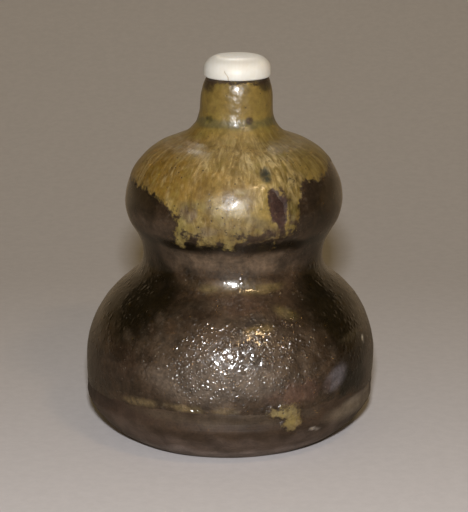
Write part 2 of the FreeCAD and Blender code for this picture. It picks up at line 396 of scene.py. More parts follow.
def clipped(depth):
    """The part of a grid once round the pot where a depth is above zero. Each cell is two
    triangles. A triangle that the border crosses is cut along it, and the border's new
    points lie on the grid's lines, each a share of the way between two grid points.
    Returns the triangles, and for every new point its two neighbours and its share."""
    rows, columns = depth.shape
    number = np.arange(rows * columns).reshape(rows, columns)
    after = np.roll(number, -1, axis=1)
    a, b, c, d = number[:-1], after[:-1], after[1:], number[1:]
    triangles = np.stack([np.stack([a, b, c], -1), np.stack([a, c, d], -1)], -2)
    triangles = triangles.reshape(-1, 3)
    kept = (depth.ravel() > 0)[triangles]
    whole = triangles[kept.sum(1) == 3]
    pieces = [whole]
    pairs = []
    for amount, wanted in ((1, True), (2, False)):
        chosen = kept.sum(1) == amount
        odd = np.argmax(kept[chosen] == wanted, axis=1)
        picked = triangles[chosen]
        line = np.arange(len(picked))
        p, q, r = (picked[line, (odd + k) % 3] for k in range(3))
        pairs.append((amount, p, q, r))
    edges = np.vstack([
        np.stack([p, x], 1) for _, p, q, r in pairs for x in (q, r)
    ])
    edges.sort(axis=1)
    edges, place = np.unique(edges, axis=0, return_inverse=True)
    place = place.ravel() + rows * columns
    start = 0
    for amount, p, q, r in pairs:
        on_q = place[start:start + len(p)]
        on_r = place[start + len(p):start + 2 * len(p)]
        start += 2 * len(p)
        if amount == 1:
            pieces.append(np.stack([p, on_q, on_r], 1))
        else:
            pieces += [np.stack([on_q, q, r], 1), np.stack([on_q, r, on_r], 1)]
    first, second = depth.ravel()[edges[:, 0]], depth.ravel()[edges[:, 1]]
    return np.vstack(pieces), edges, first / (first - second)


def glaze_skin(name, way, turn, depth_of, lift_of, base_of):
    """A closed skin of glaze on the pot over the places where its depth is above zero: an
    outer sheet at its lift and an inner sheet just under its base, which meet along the
    border. Returns the piece with the way, the turn and the depth at each of its points."""
    depth = depth_of(way, turn)
    triangles, edges, share = clipped(depth)
    flat_way, flat_turn = way.ravel(), turn.ravel()
    near, far = edges[:, 0], edges[:, 1]
    step = (flat_turn[far] - flat_turn[near] + math.pi) % (2 * math.pi) - math.pi
    all_way = np.r_[flat_way, flat_way[near] + share * (flat_way[far] - flat_way[near])]
    all_turn = np.r_[flat_turn, flat_turn[near] + share * step]
    all_depth = np.r_[depth.ravel(), np.zeros(len(edges))]
    used, triangles = np.unique(triangles, return_inverse=True)
    triangles = triangles.reshape(-1, 3)
    all_way, all_turn, all_depth = all_way[used], all_turn[used], all_depth[used]
    inner_numbers = np.arange(len(used)) + len(used)
    inner_numbers[all_depth == 0] -= len(used)
    base = base_of(all_way, all_turn) - sunk
    lift = np.where(all_depth > 0, lift_of(all_way, all_turn, all_depth), base)
    outer = on_pot(all_way, all_turn, lift)
    inner = on_pot(all_way, all_turn, base)
    faces = np.vstack([triangles, inner_numbers[triangles][:, ::-1]])
    points = np.vstack([outer, inner])
    used, faces = np.unique(faces, return_inverse=True)
    piece = write_mesh(name, points[used], faces.reshape(-1, 3).tolist())
    doubled = [np.r_[values, values][used] for values in (all_way, all_turn, all_depth)]
    return piece, *doubled


def grid(first_way, last_way, rows, columns):
    """A grid once round the pot, between two distances along its outline."""
    way = np.linspace(first_way, last_way, rows)
    turn = np.linspace(0, 2 * math.pi, columns, endpoint=False)
    turn, way = np.meshgrid(turn, way)
    return way, turn


def signed(turn):
    """A turn in degrees between -180 and 180."""
    return (np.degrees(turn) + 180) % 360 - 180


# Colours as they are seen, written as red, green and blue out of 255
def paint(red, green, blue):
    """A colour out of 255, as the linear light that the renderer works in."""
    seen = np.array([red, green, blue]) / 255
    linear = np.where(seen <= 0.04045, seen / 12.92, ((seen + 0.055) / 1.055) ** 2.4)
    return np.r_[linear, 1.0]


def bell(turn, height, at, level, wide, tall):
    """A soft hill over the pot: 1 at its middle, and falling as a bell curve each way."""
    return np.exp(-((turn - at) / wide) ** 2) * np.exp(-((height - level) / tall) ** 2)


def painted(colours, turn, height, ground, patches):
    """The colour of every point: a ground colour with soft patches laid over it in order.
    Each patch is a turn and a height, half its width in degrees, half its height, how much
    it climbs for each degree, a colour and its strength."""
    tint = np.tile(paint(*ground), (len(turn), 1))
    for number, (at, level, wide, tall, climb, colour, strength) in enumerate(patches):
        beside = (turn - at + 180) % 360 - 180
        away = np.hypot(beside / wide, (height - level - climb * beside) / tall)
        ragged = away + 0.30 * colours[number % len(colours)]
        share = strength * (1 - smooth_step(ragged, 0.55, 1.25))
        tint += share[:, None] * (paint(*colour) - tint)
    return tint


# The pot


def thrown_pot():
    """The thrown clay: a foot cut from the wheel with a twisted string, turned flank and
    hollow inside. The foot's arcs are a slow spiral about a point off the middle."""
    foot_ways = np.linspace(0.3, outline_way[heel], 80)
    flank_ways = np.linspace(outline_way[heel], way_at(groove_height + 4), 76)[1:]
    hidden_ways = np.linspace(way_at(groove_height + 4), lip_way - 1, 64)[1:]
    lip_ways = np.linspace(lip_way - 1, lip_way + 1.6, 12)[1:]
    inner_ways = np.linspace(lip_way + 1.6, outline_way[-1] - 0.3, 96)[1:]
    ways = np.concatenate([foot_ways, flank_ways, hidden_ways, lip_ways, inner_ways])
    columns = 300
    turn, way = np.meshgrid(np.linspace(0, 2 * math.pi, columns, endpoint=False), ways)
    lift = thrown(way, turn)
    radius = radius_at(way)
    under = way < outline_way[heel]
    x, y = radius * np.sin(turn) - cut_middle[0], -radius * np.cos(turn) - cut_middle[1]
    spiral = np.hypot(x, y) / string_gap - np.arctan2(y, x) / (2 * math.pi)
    inward = smooth_step(foot_radius - radius, 0.8, 2.5)
    cut = string_cut * (1 - np.cos(2 * math.pi * spiral)) * inward
    lift = np.where(under, -cut, lift)
    ridges = ridge_height * np.cos(way * 2 * math.pi / ridge_gap + 0.7 * np.sin(3 * turn))
    bare = smooth_step(way, outline_way[heel] + 0.5, outline_way[heel] + 2)
    bare = bare * (1 - smooth_step(way, way_at(groove_height + 1), way_at(groove_height + 4)))
    lift = lift + np.where(under, 0, (ridges - ridge_height) * bare)
    rings = on_pot(way, turn, lift)
    first = on_pot(0.0, 0.0, -0.05)
    last = on_pot(outline_way[-1], 0.0, 0.0)
    piece = turned_piece("thrown_pot", rings, first, last)
    heights = np.r_[height_at(way.ravel()), 0, floor_thickness]
    turns = np.r_[signed(turn.ravel()), 0, 0]
    noises = several_waves(np.vstack([rings.reshape(-1, 3), [first], [last]]), (5, 9), 31)
    carry(piece, tint=painted(noises, turns, heights, (62, 48, 36), [
        # Paler towards the bottom all round: painted reflection of the table
        (0, 1.0, 400, 6.0, 0, (88, 73, 63), 0.9),
        (0, 0.6, 400, 3.0, 0, (130, 115, 106), 0.75),
        (-60, 7.0, 30, 4.0, 0, (94, 78, 67), 0.7),
        (-58, 11.0, 34, 2.4, 0, (58, 44, 35), 0.8),
        (0, 12.0, 36, 1.6, 0, (76, 64, 50), 0.6),
        (64, 9.6, 24, 2.6, 0, (112, 100, 84), 0.8),
        (66, 11.6, 15, 1.2, 0.02, (128, 114, 98), 0.7),
        # Two small pale spots on the right flank: painted glints
        (34.6, 8.0, 1.6, 0.5, -0.1, (170, 160, 148), 0.7),
        (37.4, 7.5, 1.2, 0.4, -0.1, (150, 140, 128), 0.6),
    ]))
    return piece


iron_edge = [
    (0, 13.2), (18, 12.8), (34, 13.2), (48, 13.5), (60, 13.1), (72, 12.5), (92, 12.2),
    (114, 12.3), (138, 12.9), (162, 14.0), (186, 13.7), (208, 12.8), (232, 12.3), (256, 12.1),
    (280, 12.0), (302, 12.2), (324, 12.9), (346, 13.5),
]


def iron_depth(way, turn):
    """How far inside the dark glaze a place lies: from its wandering lower edge to its end
    down in the bore."""
    line = all_round(iron_edge, belly_radius, outline_way[-1])
    depth = depth_inside(turn * belly_radius, way, line)
    points = on_pot(way, turn, 0)
    depth = depth + 0.22 * waves(points, 3.2, 41) + 0.12 * waves(points, 1.4, 42)
    end = lip_way + mouth_glaze_depth + (mouth_radius - bore_radius) / 2
    return np.minimum(depth, end - way + 0.15 * waves(points, 3, 43))


def beaded(base, full, bead):
    """The outside of a glaze, which rises with the bead's share from just under its base."""
    return base + full * bead - sunk * (1 - bead)


def round_bead(depth, reach):
    """A bead's share: a quarter of a round, from 0 at the border to 1 at its reach."""
    return 1 - np.clip(1 - depth / reach, 0, 1) ** 2


def iron_lift(way, turn, depth=well_inside):
    """The outside of the dark glaze: its thickness rises from the border in a bead, and is
    thinner down in the bore."""
    full = iron_glaze + (mouth_glaze - iron_glaze) * smooth_step(way, lip_way, lip_way + 2)
    return beaded(thrown(way, turn), full, round_bead(depth, iron_bead_reach))


iron_patches = [
    (-66, 56.0, 30, 5.0, 0, (34, 25, 15), 0.9),
    # Paler low on the bulb's left: painted reflection of the table
    (-58, 49.6, 34, 2.6, 0, (64, 50, 38), 0.8),
    (62, 55.0, 30, 5.5, 0, (38, 29, 19), 0.9),
    (22, 56.0, 9, 5.5, 0, (60, 42, 36), 0.9),
    # A dark band all round under the upper bulb: painted shade
    (0, 47.0, 105, 1.6, 0, (20, 13, 4), 0.97),
    (0, 43.2, 60, 2.6, 0, (92, 76, 60), 0.85),
    (50, 43.4, 24, 2.4, 0, (40, 30, 22), 0.85),
    (-52, 43.0, 28, 2.6, 0, (44, 33, 23), 0.85),
    (-2, 38.0, 30, 1.8, 0, (88, 72, 52), 0.6),
    (-13, 37.5, 8, 0.9, 0, (100, 88, 54), 0.4),
    (3, 38.3, 8, 1.1, 0.03, (102, 88, 58), 0.5),
    (22, 37.3, 13, 1.0, 0.03, (98, 84, 50), 0.5),
    (4, 34.6, 15, 1.8, 0, (82, 62, 47), 0.75),
    (-64, 32.0, 43, 10.5, 0, (18, 12, 3), 0.97),
    (64, 31.5, 35, 9.5, 0, (20, 14, 4), 0.97),
    (58, 23.0, 16, 4.5, 0, (22, 15, 6), 0.85),
    (9, 31.6, 4.5, 1.2, 0.1, (36, 32, 30), 0.8),
    (26, 32.8, 8, 1.5, -0.12, (90, 78, 46), 0.75),
    (12, 30.3, 8, 1.0, 0.03, (118, 98, 52), 0.6),
    (-4, 25.0, 42, 8.5, 0, (76, 63, 50), 0.6),
    (-4, 20.5, 30, 5.0, 0, (104, 92, 80), 0.5),
    (-62, 21.0, 34, 6.0, 0, (52, 39, 29), 0.7),
    # A black patch with a sharp lower edge: painted reflection of the dark room beyond the
    # table
    (56, 16.8, 14, 3.6, 0.0, (14, 11, 4), 1.0),
    # A blue-grey patch: painted reflection
    (44.6, 18.4, 6.5, 2.6, 0.24, (100, 94, 97), 0.7),
    # Paler bands near the right and left edges: painted sheen
    (80, 24.0, 8, 10.0, 0, (96, 82, 66), 0.3),
    (-82, 22.0, 7, 8.0, 0, (96, 82, 66), 0.3),
    (60, 25.6, 12, 0.8, 0.03, (58, 50, 34), 0.5),
    # A small bright spot: painted glint
    (68, 23.8, 1.2, 0.5, 0, (214, 204, 184), 1.0),
    (28, 17.2, 14, 2.4, 0, (74, 54, 43), 0.85),
    (80, 18.0, 14, 6.0, 0, (78, 68, 58), 0.5),
    (-38, 13.9, 10, 0.9, 0.02, (124, 106, 72), 0.45),
    (-17, 14.2, 9, 0.9, -0.03, (124, 106, 72), 0.5),
    (-1, 13.9, 6, 0.8, 0, (118, 102, 74), 0.4),
]


def iron_tint(points, turn, height):
    """The dark glaze's colour and painted light at points in metres, with turns in degrees and
    heights.
    """
    noises = several_waves(points, (7, 4, 11), 51)
    return painted(noises, turn, height, (54, 41, 29), iron_patches)


def iron_skin():
    """The dark iron glaze, from above the foot over the lip and a little way inside. It is
    most pebbled low on the front."""
    low = way_at(min(height for _, height in iron_edge) - 1.2)
    way, turn = grid(low, lip_way + mouth_glaze_depth + 1.5, 124, 380)
    piece, way, turn, _ = glaze_skin(
        "iron_glaze_skin", way, turn, iron_depth, iron_lift, thrown
    )
    points = on_pot(way, turn, 0)
    degrees, height = signed(turn), height_at(way)
    front = bell(degrees, height, 4, 24, 40, 9)
    brow = bell(degrees, height, 2, 38, 34, 2.4)
    front = 0.32 + 0.9 * front - 0.05 * brow + 0.25 * waves(points, 7, 54)
    carry(piece, tint=iron_tint(points, degrees, height),
          pebbled=np.clip(front, 0.2, 1.2) * smooth_step(-height, -44, -40))
    return piece


ash_edge = [
    (-88, 57.6), (-79, 57.9), (-70, 57.6), (-62, 57.9), (-55, 57.4), (-49, 57.2), (-44, 56.8),
    (-40, 56.4), (-37, 55.6), (-33.5, 54.0), (-30.5, 52.6), (-30.5, 51.2), (-33.5, 50.0),
    (-35.6, 49.0), (-34.8, 47.9), (-32.5, 47.0), (-29, 46.6), (-26.6, 47.2), (-25.4, 48.5),
    (-22.5, 48.7), (-20.3, 48.1), (-18.5, 47.5), (-15, 47.8), (-11, 47.2), (-8, 47.5),
    (-5, 46.9), (-2.5, 46.9), (0, 46.4), (2, 46.9), (3.6, 47.9), (6, 48.6), (9, 48.4),
    (12, 48.8), (16, 48.6), (19.5, 48.7), (21.6, 48.3), (22.2, 46.4), (22.9, 46.4),
    (23.4, 48.5), (26, 49.3), (29, 49.8), (32, 49.7), (33.5, 50.8), (34.6, 53.6),
    (35.6, 56.2), (37.4, 58.2), (40, 59.6), (46, 60.0), (54, 59.7), (62, 60.1), (68, 60.5),
    (74, 61.4), (84, 61.8), (94, 61.0), (103, 59.2), (109, 56.8), (113, 53.6), (118, 51.2),
    (124, 50.0), (128, 48.4), (131, 48.2), (134, 50.2), (138, 53.0), (144, 55.4), (152, 56.8),
    (160, 56.4), (165, 54.2), (168, 51.0), (172, 48.2), (177, 46.9), (181, 47.0), (185, 48.6),
    (191, 49.4), (196, 51.4), (201, 54.4), (208, 56.8), (219, 58.4), (231, 58.8), (241, 57.4),
    (248, 54.6), (251, 53.2), (254, 54.2), (260, 56.6), (266, 57.8),
]
bare_patch = [
    (18.2, 58.8), (20.2, 59.8), (23.0, 59.0), (25.8, 57.0), (27.4, 54.6), (27.2, 53.0),
    (25.0, 52.5), (22.0, 53.4), (19.6, 55.2), (18.0, 57.0),
]

# The pour: the radius that it is unrolled at, how far it spreads past its drawn border and
# closes over the bare patch, how steep that patch's edge is, and its streaks' stretch
bulb_scale = 22.8
pour_spread = 0.8
patch_closing = 0.55
patch_steepness = 1.7
flow_share = 0.34


def ash_depth(way, turn):
    """How far inside the ash glaze a place lies: from its border with the runs, from the
    bare patch that it flowed round, and from the bare band by the lip."""
    turn = np.radians(signed(turn))
    line = all_round(ash_edge, bulb_scale, outline_way[-1])
    shifted = np.where(turn < np.radians(-88), turn + 2 * math.pi, turn)
    depth = depth_inside(shifted * bulb_scale, way, line)
    points = on_pot(way, turn, 0)
    ragged = 0.28 * waves(points, 2.4, 61) + 0.20 * waves(points, 1.1, 62)
    fringe = smooth_step(-height_at(way), -51, -48) * 0.45 * waves(points, 3.1, 64)
    depth = depth + pour_spread + ragged + fringe
    gap = depth_in_patch(bare_patch, bulb_scale, way, turn) - patch_closing + 0.5 * ragged
    beside = smooth_step(np.abs(turn), 0.5, 1.0)
    top = lip_way - lip_bare_band * (0.3 + 0.9 * beside) + 0.12 * waves(points, 2.5, 63)
    return np.minimum(np.minimum(depth, -patch_steepness * gap), top - way)


def ash_lift(way, turn, depth):
    """The outside of the ash glaze on the dark one: it rises from the border in a bead that
    is thickest where the runs end."""
    height = height_at(way)
    pooled = smooth_step(-height, -58, -48) * np.exp(-((depth - 1.6) / 1.2) ** 2)
    full = ash_glaze + ash_bead * pooled
    rippled = 0.05 * smooth_step(height, 67, 70) * (1 - smooth_step(height, 77, 78))
    full = full + rippled * waves(on_pot(way, turn, 0), 2.6, seed=74)
    return beaded(iron_lift(way, turn), full, smooth_step(depth, 0, ash_bead_reach))


ash_patches = [
    (-60, 62.0, 40, 7.0, 0, (118, 88, 30), 0.8),
    (-34, 60.5, 14, 3.5, 0, (112, 86, 34), 0.6),
    (0, 64.5, 36, 4.5, 0, (142, 120, 76), 0.6),
    (-12, 60.0, 24, 3.0, 0, (134, 106, 52), 0.5),
    (60, 64.0, 40, 6.0, 0, (104, 86, 42), 0.7),
    (0, 76.5, 400, 4.0, 0, (112, 92, 46), 0.6),
    (0, 70.8, 400, 1.1, 0, (82, 78, 52), 0.7),
    (4, 51.5, 9, 1.6, 0, (118, 98, 90), 0.4),
    (-44, 71.7, 7, 0.8, 0, (44, 40, 28), 0.85),
    (21, 71.7, 6, 0.8, 0, (50, 36, 32), 0.85),
    # Dark under the lid at the sides: thin glaze, and painted shade under the lid
    (-62, 79.0, 22, 1.4, 0, (46, 34, 24), 0.9),
    (58, 79.0, 20, 1.6, 0, (46, 38, 26), 0.9),
    (14, 78.4, 8, 0.9, 0, (84, 72, 44), 0.6),
    (-24, 55.0, 5.5, 2.4, 0, (74, 58, 48), 0.8),
    (-21, 54.2, 3.0, 1.3, 0, (136, 122, 110), 0.6),
    (18.4, 61.6, 4.4, 1.5, 0, (50, 52, 44), 1.0),
    (14, 50.4, 15, 2.2, 0, (68, 54, 38), 0.85),
    (-12, 49.6, 18, 2.2, 0, (116, 100, 62), 0.6),
    (31, 55.0, 3.4, 5.0, 0, (64, 54, 18), 0.85),
    (34, 60.0, 10, 3.0, 0, (92, 74, 34), 0.6),
    (-4, 52.5, 26, 2.6, 0, (112, 94, 52), 0.6),
    (-30, 48.8, 5, 1.8, 0, (132, 116, 66), 0.7),
    (2, 46.9, 9, 0.9, 0, (138, 124, 70), 0.6),
    (-28, 52.0, 5, 2.6, 0, (132, 122, 70), 0.5),
    (-14, 51.0, 6, 1.1, 0.05, (106, 92, 78), 0.55),
    (12, 53.0, 7, 1.2, -0.04, (104, 92, 66), 0.55),
    # Paler round the bulb's highlight: painted glow of the highlight
    (-4, 55.6, 14, 1.6, 0, (150, 134, 88), 0.4),
]
thin_patches = [
    (-19, 49.6, 3.4, 0.9, 0.6), (-7, 48.4, 3.0, 0.8, 0.6), (5, 50.0, 4.5, 1.0, 0.5),
    (11, 49.4, 5.0, 1.0, 0.55), (18, 50.2, 4.5, 1.2, 0.6), (25.5, 51.0, 2.2, 1.6, 0.7),
    (-30, 54.4, 4.0, 1.2, 0.4), (-26, 50.5, 3.0, 1.4, 0.5), (29.5, 52.6, 1.3, 3.0, 0.5),
    (37, 60.6, 8, 1.0, 0.35), (-74, 58.6, 16, 0.9, 0.3), (26, 57.2, 2.0, 2.2, 0.5),
    (23, 56.0, 5.4, 4.0, 0.7),
]

dark_spots = [(18.4, 61.6, 4.4, 1.5), (-44, 71.7, 7, 0.8), (21, 71.7, 6, 0.8)]


def ash_runs():
    """The ash glaze poured over neck and shoulder, with its runs and drips. It covers the
    dark glaze less towards its border and in a few thin places."""
    way, turn = grid(way_at(45.0), lip_way, 110, 560)
    piece, way, turn, depth = glaze_skin(
        "ash_glaze_runs", way, turn, ash_depth, ash_lift, iron_lift
    )
    points = on_pot(way, turn, 0)
    noises = several_waves(points, (5, 2.6, 8), 71)
    degrees, height = signed(turn), height_at(way)
    carry(piece, tint=painted(noises, degrees, height, (126, 106, 52), ash_patches),
          under=iron_tint(points, degrees, height),
          flow=about_axis(0, bulb_scale, turn, flow_share * way))
    cover = smooth_step(depth, 0.1, 2.0 + 0.5 * noises[0])
    cover = cover - 0.22 * smooth_step(-height, -57, -50)
    for at, level, wide, tall, strength in thin_patches:
        away = np.hypot((degrees - at) / wide, (height - level) / tall) + 0.3 * noises[1]
        cover = cover - strength * (1 - smooth_step(away, 0.4, 1.4))
    creamy = bell(degrees, height, 4, 63.5, 30, 4.5)
    creamy = 0.26 + 0.6 * creamy - 0.26 * smooth_step(height, 67, 70) + 0.12 * noises[2]
    for at, level, wide, tall in dark_spots:
        away = np.hypot((degrees - at) / wide, (height - level) / tall)
        creamy = creamy * smooth_step(away, 0.5, 1.3)
    carry(piece, cover=np.clip(cover, 0, 1), creamy=np.clip(creamy, 0, 1),
          runny=1 - 0.85 * smooth_step(height, 67, 71))
    return piece


splash_line = [
    (13.8, 13.0), (16.0, 14.6), (19.6, 14.2), (23.2, 15.0), (27.4, 14.4), (28.8, 12.8),
    (27.6, 12.0), (29.4, 11.2), (29.6, 9.8), (27.0, 8.9), (24.2, 8.4), (21.4, 9.2),
    (20.0, 10.6), (21.6, 11.4), (17.4, 11.9),
]
splash_spread = 0.35


def splash_depth(way, turn):
    """How far inside the splash of ash glaze by the foot a place lies."""
    turn = np.radians(signed(turn))
    points = on_pot(way, turn, 0)
    ragged = 0.30 * waves(points, 2.0, 81) + 0.22 * waves(points, 0.9, 82)
    return depth_in_patch(splash_line, belly_radius, way, turn) + splash_spread + ragged


def splash_base(way, turn):
    """What the splash lies on: the dark glaze, and the clay below its edge."""
    depth = iron_depth(way, turn)
    return np.where(depth > 0, iron_lift(way, turn, depth), thrown(way, turn))


def splash_lift(way, turn, depth):
    """The outside of the splash, a thin bead on what it lies on."""
    return beaded(splash_base(way, turn), splash_glaze, round_bead(depth, splash_bead_reach))


def foot_drop():
    """The splash of ash glaze low on the front, over the dark glaze's lower edge."""
    ways = np.linspace(way_at(8.6), way_at(15.8), 70)
    turns = np.radians(np.linspace(11, 32, 120))
    turn, way = np.meshgrid(turns, ways)
    piece, way, turn, depth = glaze_skin(
        "foot_ash_drop", way, turn, splash_depth, splash_lift, splash_base
    )
    points = on_pot(way, turn, 0)
    noises = several_waves(points, (3, 1.5), 91)
    degrees, height = signed(turn), height_at(way)
    tint = painted(noises, degrees, height, (104, 88, 56), [
        (21, 13.2, 5, 1.2, 0, (124, 110, 72), 0.8),
        (24, 11.0, 3, 1.4, 0, (118, 102, 56), 0.8),
    ])
    carry(piece, tint=tint, under=iron_tint(points, degrees, height), flow=points,
          cover=0.85 * smooth_step(depth, 0.0, 1.5), creamy=np.full(len(way), 0.2),
          runny=np.full(len(way), 0.3))
    return piece


# The lid
lining_gap = 0.1
plug_wall = 1.0
crack_depth = 0.05


def corners_of(node):
    """A node's lowest and highest corners, in millimetres."""
    return [np.array(corner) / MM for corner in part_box(node)]


def lid_outline():
    """The lid's outline as radius and height, from the middle of the recess under its plug
    round the edge to the crown. Its reach and heights are those of the frame."""
    low, high = corners_of("ivory_lid")
    rim = corners_of("iron_glaze_coat")[1][2]
    radius = (high[0] - low[0]) / 2
    lining_low, lining_high = corners_of("lid_gold_lining")
    ceiling = lining_high[2]
    recess = (lining_high[0] - lining_low[0]) / 2 + lining_gap
    plug = recess + plug_wall
    edge_round, crown, foot_round, plug_round = 3.3, 0.15, 0.5, 0.3
    side = radius - edge_round
    edge_height = high[2] - crown - edge_round
    over = edge_round + crown
    crown_curve = (side**2 + over**2 - edge_round**2) / (2 * crown)
    crown_centre = high[2] - crown_curve
    turn = math.atan2(edge_height - crown_centre, side)
    plug_end = low[2]
    path = np.vstack([
        straight((0, ceiling), (recess, ceiling)),
        straight((recess, ceiling), (recess, plug_end)),
        straight((recess, plug_end), (plug - plug_round, plug_end)),
        arc(plug - plug_round, plug_end + plug_round, plug_round, -math.pi / 2, 0),
        straight((plug, plug_end + plug_round), (plug, rim)),
        straight((plug, rim), (radius - foot_round, rim)),
        arc(radius - foot_round, rim + foot_round, foot_round, -math.pi / 2, 0),
        straight((radius, rim + foot_round), (radius, edge_height)),
        arc(side, edge_height, edge_round, 0, turn),
        arc(0, crown_centre, crown_curve, turn, math.pi / 2),
    ])
    return evened(path)[0]


def ivory_lid():
    """The turned ivory lid. A hairline crack runs up its front from the lower edge, cut as
    a narrow V along a wandering line."""
    path = lid_outline()
    low, high = corners_of("ivory_lid")
    centre = (low[0] + high[0]) / 2
    way = np.r_[0, np.cumsum(np.linalg.norm(np.diff(path, axis=0), axis=1))]
    ways = np.linspace(0.3, way[-1] - 0.25, 190)
    turns = np.linspace(0, 2 * math.pi, 420, endpoint=False)
    turn, along = np.meshgrid(turns, ways)
    out = outwards(path)
    radius = np.interp(along, way, path[:, 0])
    height = np.interp(along, way, path[:, 1])
    degrees = signed(turn)
    edge = way[np.argmax(path[:, 0] > path[:, 0].max() - 0.02)]
    up = along - edge
    line = -15.5 - 3.2 * up + 1.2 * np.sin(up * 3.1)
    crack = np.exp(-((degrees - line) / 0.9) ** 2) * smooth_step(up, -1.6, -1.0)
    crack = crack * (1 - smooth_step(up, 1.4, 2.4))
    radius = radius - crack_depth * crack * np.interp(along, way, out[:, 0])
    height = height - crack_depth * crack * np.interp(along, way, out[:, 1])
    rings = about_axis(centre, radius, turn, height)
    first, last = (np.array([centre, 0, path[end, 1]]) * MM for end in (0, -1))
    piece = turned_piece("turned_ivory_lid", rings, first, last)
    carry(piece, crack=np.r_[crack.ravel(), 0, 0])
    return piece


def gold_lining():
    """The gilded paper pasted under the lid, a thin disc with a faint crumple."""
    low, high = corners_of("lid_gold_lining")
    centre, radius = (low[0] + high[0]) / 2, (high[0] - low[0]) / 2
    middle, rows, columns = 0.15, 24, 96
    across = np.r_[np.linspace(middle, radius, rows), np.linspace(radius, middle, rows)]
    level = np.repeat([low[2], high[2]], rows)
    turns = np.linspace(0, 2 * math.pi, columns, endpoint=False)
    turn, reach = np.meshgrid(turns, across)
    height = np.repeat(level[:, None], len(turns), 1)
    rings = about_axis(centre, reach, turn, height)
    crumple = 0.025 * (1 + waves(rings, 1.6, 95)) * (rings[..., 2] < (low[2] + 0.01) * MM)
    rings[..., 2] += np.clip(crumple, 0, 0.06) * MM
    first = np.array([centre, 0, low[2] + 0.02]) * MM
    last = np.array([centre, 0, high[2]]) * MM
    return turned_piece("gilded_lining", rings, first, last)


# Finishes


def new_finish(name):
    """An empty material: its tree, its main shader and the piece's own coordinates."""
    material = bpy.data.materials.new(name)
    material.use_nodes = True
    tree = material.node_tree
    shader = tree.nodes["Principled BSDF"]
    place = tree.nodes.new("ShaderNodeTexCoord").outputs["Object"]
    return material, tree, shader, place


def add(tree, kind, inputs, **settings):
    """A node with its settings. Each input is a value or another node's output."""
    made = tree.nodes.new(kind)
    for name, value in settings.items():
        setattr(made, name, value)
    for name, value in inputs.items():
        if isinstance(value, bpy.types.NodeSocket):
            tree.links.new(value, made.inputs[name])
        else:
            made.inputs[name].default_value = value
    return made


def grain(tree, place, size, detail=3.0, rough=0.55, warp=0.0):
    """Cloudy noise with clouds about a size in millimetres across, from 0 to 1."""
    inputs = {"Vector": place, "Scale": 1 / (size * MM), "Detail": detail,
              "Roughness": rough, "Distortion": warp}
    return add(tree, "ShaderNodeTexNoise", inputs).outputs["Fac"]


def cells(tree, place, size):
    """Distance to the nearest of many scattered points about a size apart."""
    inputs = {"Vector": place, "Scale": 1 / (size * MM)}
    return add(tree, "ShaderNodeTexVoronoi", inputs).outputs["Distance"]


def between(tree, value, low, high, to_low=0.0, to_high=1.0):
    """A value mapped from one range to another with a smooth step."""
    inputs = {"Value": value, "From Min": low, "From Max": high,
              "To Min": to_low, "To Max": to_high}
    made = add(tree, "ShaderNodeMapRange", inputs, interpolation_type="SMOOTHSTEP")
    return made.outputs["Result"]


def sum_of(tree, first, second, operation="ADD"):
    """Two numbers added, or joined by another operation."""
    made = add(tree, "ShaderNodeMath", {0: first, 1: second}, operation=operation)
    return made.outputs["Value"]


def times(tree, first, second):
    """Two numbers multiplied."""
    return sum_of(tree, first, second, "MULTIPLY")


def blend(tree, share, first, second, kind="MIX"):
    """Two colours mixed by a share, or blended in another way."""
    made = tree.nodes.new("ShaderNodeMix")
    made.data_type = "RGBA"
    made.blend_type = kind
    sockets = {"Factor_Float": share, "A_Color": first, "B_Color": second}
    for socket in made.inputs:
        if socket.identifier in sockets:
            value = sockets[socket.identifier]
            if isinstance(value, bpy.types.NodeSocket):
                tree.links.new(value, socket)
            else:
                socket.default_value = value
    return next(s for s in made.outputs if s.identifier == "Result_Color")


def kept(tree, name, output="Fac"):
    """A value that the piece carries."""
    made = tree.nodes.new("ShaderNodeAttribute")
    made.attribute_name = name
    return made.outputs[output]


def bumped(tree, height, depth, under=None):
    """Small relief: a height from 0 to 1 becomes a depth in millimetres."""
    inputs = {"Height": height, "Distance": depth * MM, "Strength": 1.0}
    if under is not None:
        inputs["Normal"] = under
    return add(tree, "ShaderNodeBump", inputs).outputs["Normal"]


def join(tree, shader, **sockets):
    """Links outputs to the shader's own sockets, or sets their values."""
    for name, value in sockets.items():
        socket = shader.inputs[name.replace("_", " ")]
        if isinstance(value, bpy.types.NodeSocket):
            tree.links.new(value, socket)
        else:
            socket.default_value = value


def ray_is(tree, kind):
    """1 where the light's path is of a kind, and 0 elsewhere."""
    return tree.nodes.new("ShaderNodeLightPath").outputs[f"Is {kind} Ray"]


def either(tree, share, first, second):
    """Two shaders mixed by a share."""
    return add(tree, "ShaderNodeMixShader", {0: share, 1: first, 2: second}).outputs["Shader"]


def toned(tree, colour, shade):
    """A colour made darker or lighter by a number that it is multiplied with."""
    grey = add(tree, "ShaderNodeCombineColor", {"Red": shade, "Green": shade, "Blue": shade})
    return blend(tree, 1.0, colour, grey.outputs["Color"], "MULTIPLY")


def stoneware_finish():
    """Bare brown stoneware: fine sandy grain, small dark iron specks, a faint fire flash."""
    material, tree, shader, place = new_finish("bare_stoneware")
    tint = kept(tree, "tint", "Color")
    cloud = between(tree, grain(tree, place, 5, 5, 0.6), 0.3, 0.7, 0.72, 1.22)
    sand = between(tree, grain(tree, place, 0.5, 3, 0.7), 0.3, 0.7, 0.84, 1.16)
    speck = between(tree, grain(tree, place, 0.42, 1, 0.4), 0.74, 0.68, 0.55, 1.0)
    shade = times(tree, times(tree, cloud, sand), speck)
    shaded = toned(tree, tint, shade)
    relief = sum_of(tree, grain(tree, place, 0.35, 4, 0.65), cloud)
    join(tree, shader, Base_Color=shaded, Normal=bumped(tree, relief, 0.05),
         Roughness=between(tree, grain(tree, place, 2, 3), 0.3, 0.7, 0.42, 0.58),
         Specular_IOR_Level=0.3, Coat_Weight=0.45, Coat_Roughness=0.2)
    return material


